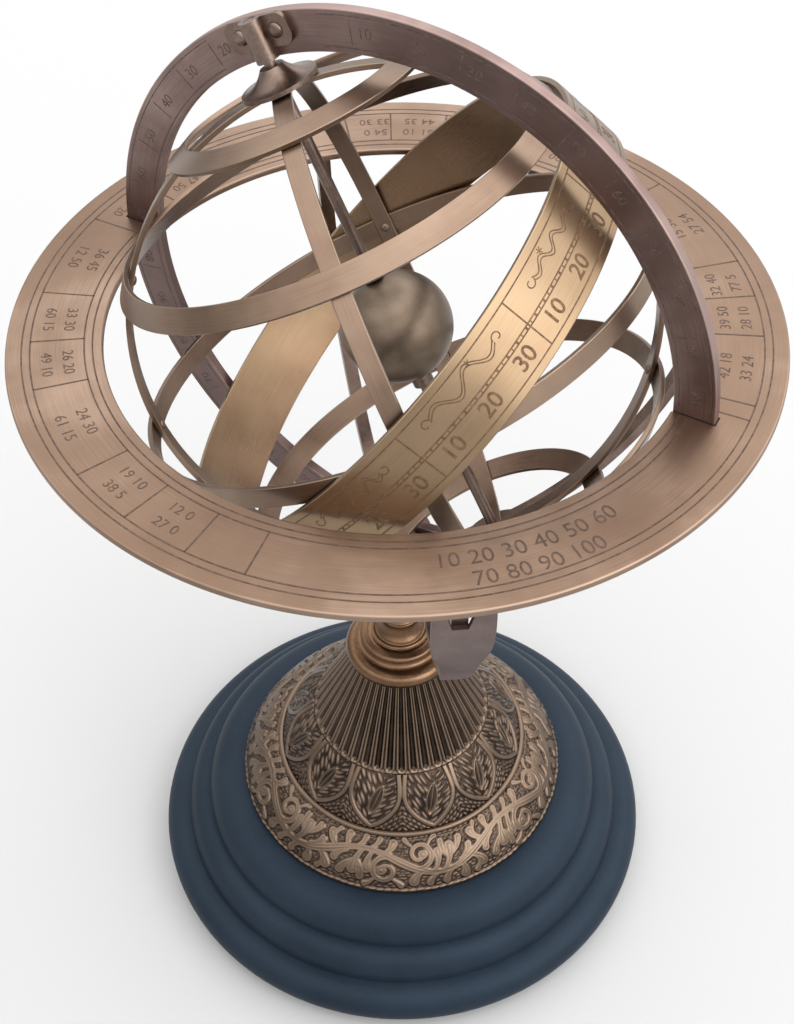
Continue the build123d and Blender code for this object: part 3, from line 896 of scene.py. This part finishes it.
def petalRelief(along, share, across):
    # hanging petals with a smooth border; inside a leaning lance leaf between flecks
    band, tip, shoulder = petals["band"], petals["tip"], petals["shoulder"]
    up = share * band
    halfPitch = math.pi / petals["count"] * (bell["bead"] + (bell["girdle"] - bell["bead"]) * share)
    below = np.clip((up - tip) / (shoulder - tip), 0, 1)
    above = np.clip((up - shoulder) / (band - petals["headRoom"] - shoulder), 0, 1)
    width = (halfPitch + petals["overlap"]) * np.sin(np.pi / 2 * below) ** petals["fullness"]
    width = width * np.sqrt(1 - petals["pinch"] * above**2)
    slope = np.gradient(width, axis=0) / np.maximum(np.gradient(up, axis=0), 1e-6)
    depth = (width - np.abs(along)) / np.sqrt(1 + slope**2)
    pastBorder = depth - petals["border"]
    inner = smoothStep(*petals["innerSoft"], pastBorder)

    lean = math.radians(petals["leafLean"])
    dx, dy = along - petals["leafAt"][0], up - petals["leafAt"][1]
    beside = dx * math.cos(lean) - dy * math.sin(lean)
    upLeaf = dx * math.sin(lean) + dy * math.cos(lean)
    onLeaf = np.clip(1 - (upLeaf / petals["leafLength"]) ** 2, 0, 1)
    leafDepth = petals["leafWidth"] * onLeaf - np.abs(beside)
    flecks = pebbles(0.55 * np.abs(beside) + 3 * (beside > 0), upLeaf - 0.9 * np.abs(beside), *petals["fleck"])
    side = halfPitch - np.abs(along)
    strokes = pebbles(0.8 * side + 0.5, up + 0.6 * side, *petals["stroke"])
    layers = {"border": smoothStep(*petals["rimSoft"], depth) * (1 - smoothStep(*petals["borderSoft"], pastBorder)),
              "flecks": flecks * inner * (1 - smoothStep(*petals["leafClear"], leafDepth)),
              "leafEdge": hump(leafDepth, petals["leafLine"]) * inner * (onLeaf > 0),
              "vein": hump(beside, petals["veinLine"]) * smoothStep(0.02, 0.2, onLeaf) * inner,
              "strokes": strokes * (1 - smoothStep(*petals["outside"], depth)),
              "sill": 1 - smoothStep(*petals["sill"], up)}
    return raised(layers, petals)


scroll = {
    "count": 6, "grid": (190, 72), "lead": 0.0, "band": 16.0, "middleRadius": 39.7, "wave": 3.3, "vine": (1.15, 0.15),
    "curl": 4.0, "curlAt": 3.0, "curlIn": 0.78, "curlTurns": 1.3, "curlLine": (0.95, 0.7), "bulb": 1.5,
    "leafSoft": (-0.18, 0.22), "groundSoft": (-0.5, -0.1), "grain": (0.8, 0.5), "edge": (0.35, 0.7, 0.6, 0.3),
    "groove": (0.85, 0.16), "crown": 0.15, "ground": 0.12,
    "layers": {"leaf": (0, 0.6), "crowned": (0.6, 0), "grains": (0.24, 0.3), "edging": (0.4, 0.3),
               "groove": (-0.12, -0.2)}}
scrollClubs = (
    # start, end, bend, half width at the start and at the round end; first the lobes above the vine
    ((-12.4, 5.4), (-11.2, 10.4), -0.2, 0.8, 1.35),
    ((-9.6, 5.2), (-7.6, 11.2), -0.15, 0.8, 1.55),
    ((-8.4, 8.2), (-9.8, 12.9), 0.25, 0.7, 1.1),
    ((-7.6, 8.6), (-4.4, 12.4), -0.2, 0.7, 1.3),
    ((-5.2, 6.6), (-2.2, 9.6), -0.25, 0.8, 1.25),
    # lobes below it
    ((-15.4, 5.6), (-18.0, 2.7), -0.25, 0.8, 1.5),
    ((-12.0, 4.2), (-14.0, 1.9), -0.2, 0.7, 1.1),
    ((-8.4, 4.2), (-9.8, 1.8), -0.2, 0.8, 1.15),
    ((-5.2, 5.2), (-4.8, 2.2), 0.2, 0.8, 1.45),
    ((-2.4, 6.6), (0.4, 3.4), 0.25, 0.8, 1.5),
    ((-0.6, 4.4), (-1.6, 1.7), 0.2, 0.6, 0.95),
    # small leaves round the curl
    ((-13.2, 13.0), (-11.2, 14.6), 0.2, 0.6, 0.95),
    ((-18.6, 12.8), (-20.3, 14.4), 0.1, 0.6, 0.95),
)


def clubStroke(start, end, bend, thin, thick):
    # a short branch that swells to a round end
    start, end = np.array(start), np.array(end)
    share = np.linspace(0, 1, 9)[:, None]
    middle = (start + end) / 2 + bend * np.array([-(end - start)[1], (end - start)[0]])
    line = (1 - share)**2 * start + 2 * share * (1 - share) * middle + share**2 * end
    return np.hstack([line, thin + (thick - thin) * share**1.5])


def scrollStrokes(length, middle):
    # points of (along, across, half width): the vine, half its branches, and these turned about
    wave = 2 * math.pi / length
    along = np.linspace(-0.5, 0.5, 61) * length
    thick, swell = scroll["vine"]
    vine = np.stack([along, middle + scroll["wave"] * np.sin(wave * along),
                     thick + swell * np.cos(2 * wave * along)], axis=1)
    startAlong = -0.5 * length + scroll["curlAt"]
    startAcross = middle + scroll["wave"] * math.sin(wave * startAlong)
    tilt = math.atan(scroll["wave"] * wave * math.cos(wave * startAlong))
    normal = np.array([-math.sin(tilt), math.cos(tilt)])
    heart = np.array([startAlong, startAcross]) + scroll["curl"] * normal
    first = math.atan2(-normal[1], -normal[0])
    turn = np.linspace(0, 2 * math.pi * scroll["curlTurns"], 50)
    share = turn / turn[-1]
    reach = scroll["curl"] * (1 - scroll["curlIn"] * share)
    thick, thin = scroll["curlLine"]
    curl = np.stack([heart[0] + reach * np.cos(first + turn), heart[1] + reach * np.sin(first + turn),
                     thick + (thin - thick) * share], axis=1)
    bulb = np.array([[*curl[-1, :2], scroll["bulb"]], [*(curl[-1, :2] + 0.05), scroll["bulb"]]])
    branches = [curl, bulb, *(clubStroke(*club) for club in scrollClubs)]
    turned = [np.stack([-b[:, 0], 2 * middle - b[:, 1], b[:, 2]], axis=1) for b in branches]
    return [vine, *branches, *turned]


def strokeDepth(x, y, strokes, length):
    # how deep a point lies inside the strokes, which repeat along the band
    reach = 3  # no stroke matters further off than this
    depth = np.full(x.shape, -9.0)
    for stroke in strokes:
        for shift in (-length, 0, length):
            a = stroke[:-1] + (shift, 0, 0)
            b = stroke[1:] + (shift, 0, 0)
            if a[:, 0].max() < x.min() - reach or a[:, 0].min() > x.max() + reach:
                continue
            for start, end in zip(a, b):
                step = end[:2] - start[:2]
                share = ((x - start[0]) * step[0] + (y - start[1]) * step[1]) / (step @ step + 1e-9)
                share = np.clip(share, 0, 1)
                gap = np.hypot(x - start[0] - share * step[0], y - start[1] - share * step[1])
                depth = np.maximum(depth, start[2] + share * (end[2] - start[2]) - gap)
    return depth


def scrollRelief(along, share, across):
    # foliate scroll with round-ended branches, on a ground of fine strokes
    band = scroll["band"]
    length = 2 * math.pi * scroll["middleRadius"] / scroll["count"]
    x, y = across * length / 2, share * band
    depth = strokeDepth(x, y, scrollStrokes(length, band / 2), length)
    leaf = smoothStep(*scroll["leafSoft"], depth)
    low, lowEnd, high, highEnd = scroll["edge"]
    crown = scroll["crown"]
    grooveAt, grooveWidth = scroll["groove"]
    layers = {"leaf": leaf, "crowned": leaf * (1 - crown + crown * smoothStep(0, 1.0, depth)),
              "grains": pebbles(0.45 * (x - 0.5 * y), y, *scroll["grain"])
              * (1 - smoothStep(*scroll["groundSoft"], depth)),
              "edging": 1 - smoothStep(low, lowEnd, y) + smoothStep(band - high, band - highEnd, y),
              "groove": hump(depth - grooveAt, grooveWidth)}
    return raised(layers, scroll)


def latheMesh(name, outline, steps, material):
    # a closed outline of (radius, height) in mm, turned round Z
    outline = np.array(outline)
    grid = aroundZ(outline[:, :1], np.linspace(0, 2 * math.pi, steps, endpoint=False), outline[:, 1:])
    mesh = newMesh(name, grid.tolist(), gridFaces(len(outline), steps, steps))
    mesh.shade_smooth()
    mesh.materials.append(material)
    return addObject(name, mesh)


def arcOf(radius, height, half, angles):
    return [(radius + half * math.cos(a), height + half * math.sin(a)) for a in angles]


def makeBell():
    lip = (bell["rim"] - bell["lipInset"], bellFoot + bell["lip"])
    bead = (bell["bead"], bellFoot + bell["beadHeight"])
    girdle = (bell["girdle"], bellFoot + bell["girdleHeight"])
    reliefSector("bellScrollBand", lip, bead, bell["scrollBow"], scroll, scrollRelief)
    reliefSector("bellPetalBand", bead, girdle, bell["petalBow"], petals, petalRelief)
    reliefSector("bellFluteCone", girdle, (bell["top"], bellHead), 0.0, flutes, fluteRelief)
    around = np.linspace(0, 2 * math.pi, bell["roundSteps"], endpoint=False)
    for name, corner, out, up, half, tone in (
        # ring, where it lies, how far out and up from there, half its thickness, tone
        ("bellBeadRing", bead, 0.3, 0.2, 1.0, 0.6),
        ("bellBeadStep", bead, 1.55, -1.0, 0.45, 0.4),
        ("bellRimRing", (bell["rim"], bellFoot), -0.75, 0.75, 0.75, 0.4),
    ):
        outline = arcOf(corner[0] + out, corner[1] + up, half, around)
        ring = latheMesh(name, outline, bell["ringSteps"], bellFinish)
        pointValues(ring.data, "relief", np.full(len(ring.data.vertices), tone))
        dress(ring, "stand", "bell_brass")


makeBell()
print("bell made")


# Stem: torus, collar, flared foot and a slim neck with a bead
stemShape = {
    "bore": 3.3, "undercut": 11.7, "torus": (12.3, 3.0, 2.35),
    "cove": ((11.4, 5.25), (10.6, 5.35), (10.1, 5.8), (9.8, 6.5)), "collar": (9.75, 8.1, 0.95),
    "groove": ((9.0, 9.2), (8.1, 9.32), (7.9, 9.1), (7.3, 9.1), (7.1, 9.4)),
    "foot": (6.3, 10.0, 0.42), "neck": 4.5, "flare": (10.45, 14.7), "flareBend": 2.4,
    "bead": (4.5, 15.5, 0.5),
    "head": ((4.5, 26.4), (4.9, 28.2), (5.8, 29.4), (6.8, 29.9), (7.0, 30.2)), "headEdge": (7.0, 6.7),
    "steps": 160}


def makeStem():
    look = stemShape
    foot, head = (corner[2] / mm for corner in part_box("stem"))
    tall = head - foot
    low, high = look["flare"]
    flareFoot = look["foot"][0] - look["neck"]
    flare = [(look["neck"] + flareFoot * (1 - share) ** look["flareBend"], low + (high - low) * share)
             for share in np.linspace(0, 1, 12)]
    torus, collar, ring, bead = (arcOf(*look[key], np.linspace(-math.pi / 2, math.pi / 2, 14))
                                 for key in ("torus", "collar", "foot", "bead"))
    edge, inset = look["headEdge"]
    outline = [(look["bore"], 0.0), (look["undercut"], 0.0), *torus, *look["cove"], *collar, *look["groove"],
               *ring, *flare, *bead, *look["head"],
               (edge, tall - edge + inset), (inset, tall), (look["bore"], tall)]
    outline = [(radius, foot + height) for radius, height in outline]
    stem = latheMesh("turnedStem", outline, look["steps"], brass["turned"])
    return dress(stem, "stand", "stem_brass", "stem")


makeStem()
print("stem made")


# CAD nodes whose shape is right get their finish
nodeFinishes = [
    (brass["fitting"], [
        "cradle_hub", "cradle_arm_1", "cradle_arm_2", "cradle_arm_3", "cradle_arm_4", "north_bracket",
        "south_bracket", "north_pole_cap", "south_pole_cap", "polar_rod", "upper_collar", "lower_collar"]),
    (brass["pewter"], ["front_shield"]),
    (brass["earth"], ["earth_ball"]),
    (brass["steel"], ["tie_rod", "tie_nut", "tie_washer"]),
    (basePaint, ["wooden_base"]),
    (baseFelt, ["felt_pad"]),
]
for material, nodes in nodeFinishes:
    for node in nodes:
        frame["nodes"][node].material_slots[0].material = material
print("nodes finished")


# Floor, light and camera
stage = {
    "floorSize": 60.0, "floorColour": (0.37, 0.37, 0.37), "floorRoughness": 0.9,
    "domeSides": (1.9, 4.1),  # strength at the left and at the right
    "domeShades": ((0.0, 0.24), (0.15, 0.28), (0.4, 0.66), (0.7, 0.95), (1.0, 1.0))}
softbox = {"place": (1.1, -0.9, 0.9), "aim": (0, 0, 0.15), "size": 1.0, "watts": 7}
camera = {"place": (0, -0.279285, 0.429504), "turn": (43.29093, 0.47404, -0.40678), "lens": 58.158}


def makeFloor():
    mesh = simpleMesh("floor", bmesh.ops.create_grid, x_segments=1, y_segments=1, size=stage["floorSize"] / 2)
    material, tree, shader = startMaterial("paleFloor")
    setInputs(tree, shader, {"Base Color": (*stage["floorColour"], 1), "Roughness": stage["floorRoughness"]})
    mesh.materials.append(material)
    addObject("floor", mesh)


def makeLight():
    # a dome that is bright above and to the right, and one softbox
    world = bpy.data.worlds.new("studio")
    world.use_nodes = True
    tree = world.node_tree
    direction = tree.nodes.new("ShaderNodeSeparateXYZ")
    setInputs(tree, direction, {"Vector": addNode(tree, "ShaderNodeTexCoord")})
    heights, greys = zip(*stage["domeShades"])
    shade = colourRamp(tree, direction.outputs["Z"], heights, [(grey,) * 3 for grey in greys])
    strength = mapTo(tree, direction.outputs["X"], *stage["domeSides"], -1, 1)
    setInputs(tree, tree.nodes["Background"], {"Color": shade, "Strength": strength})
    bpy.context.scene.world = world
    lamp = bpy.data.lights.new("rightSoftbox", "AREA")
    lamp.size = softbox["size"]
    lamp.energy = softbox["watts"]
    holder = addObject("rightSoftbox", lamp)
    holder.location = softbox["place"]
    aim = Vector(softbox["aim"]) - Vector(softbox["place"])
    holder.rotation_euler = aim.to_track_quat("-Z", "Y").to_euler()


def makeCamera():
    data = bpy.data.cameras.new("camera")
    data.lens = camera["lens"]
    data.clip_start = 0.01
    holder = addObject("camera", data)
    holder.location = camera["place"]
    holder.rotation_euler = [math.radians(angle) for angle in camera["turn"]]
    bpy.context.scene.camera = holder


makeFloor()
makeLight()
makeCamera()
bpy.context.scene.view_settings.view_transform = "Standard"
print("stage and camera made")
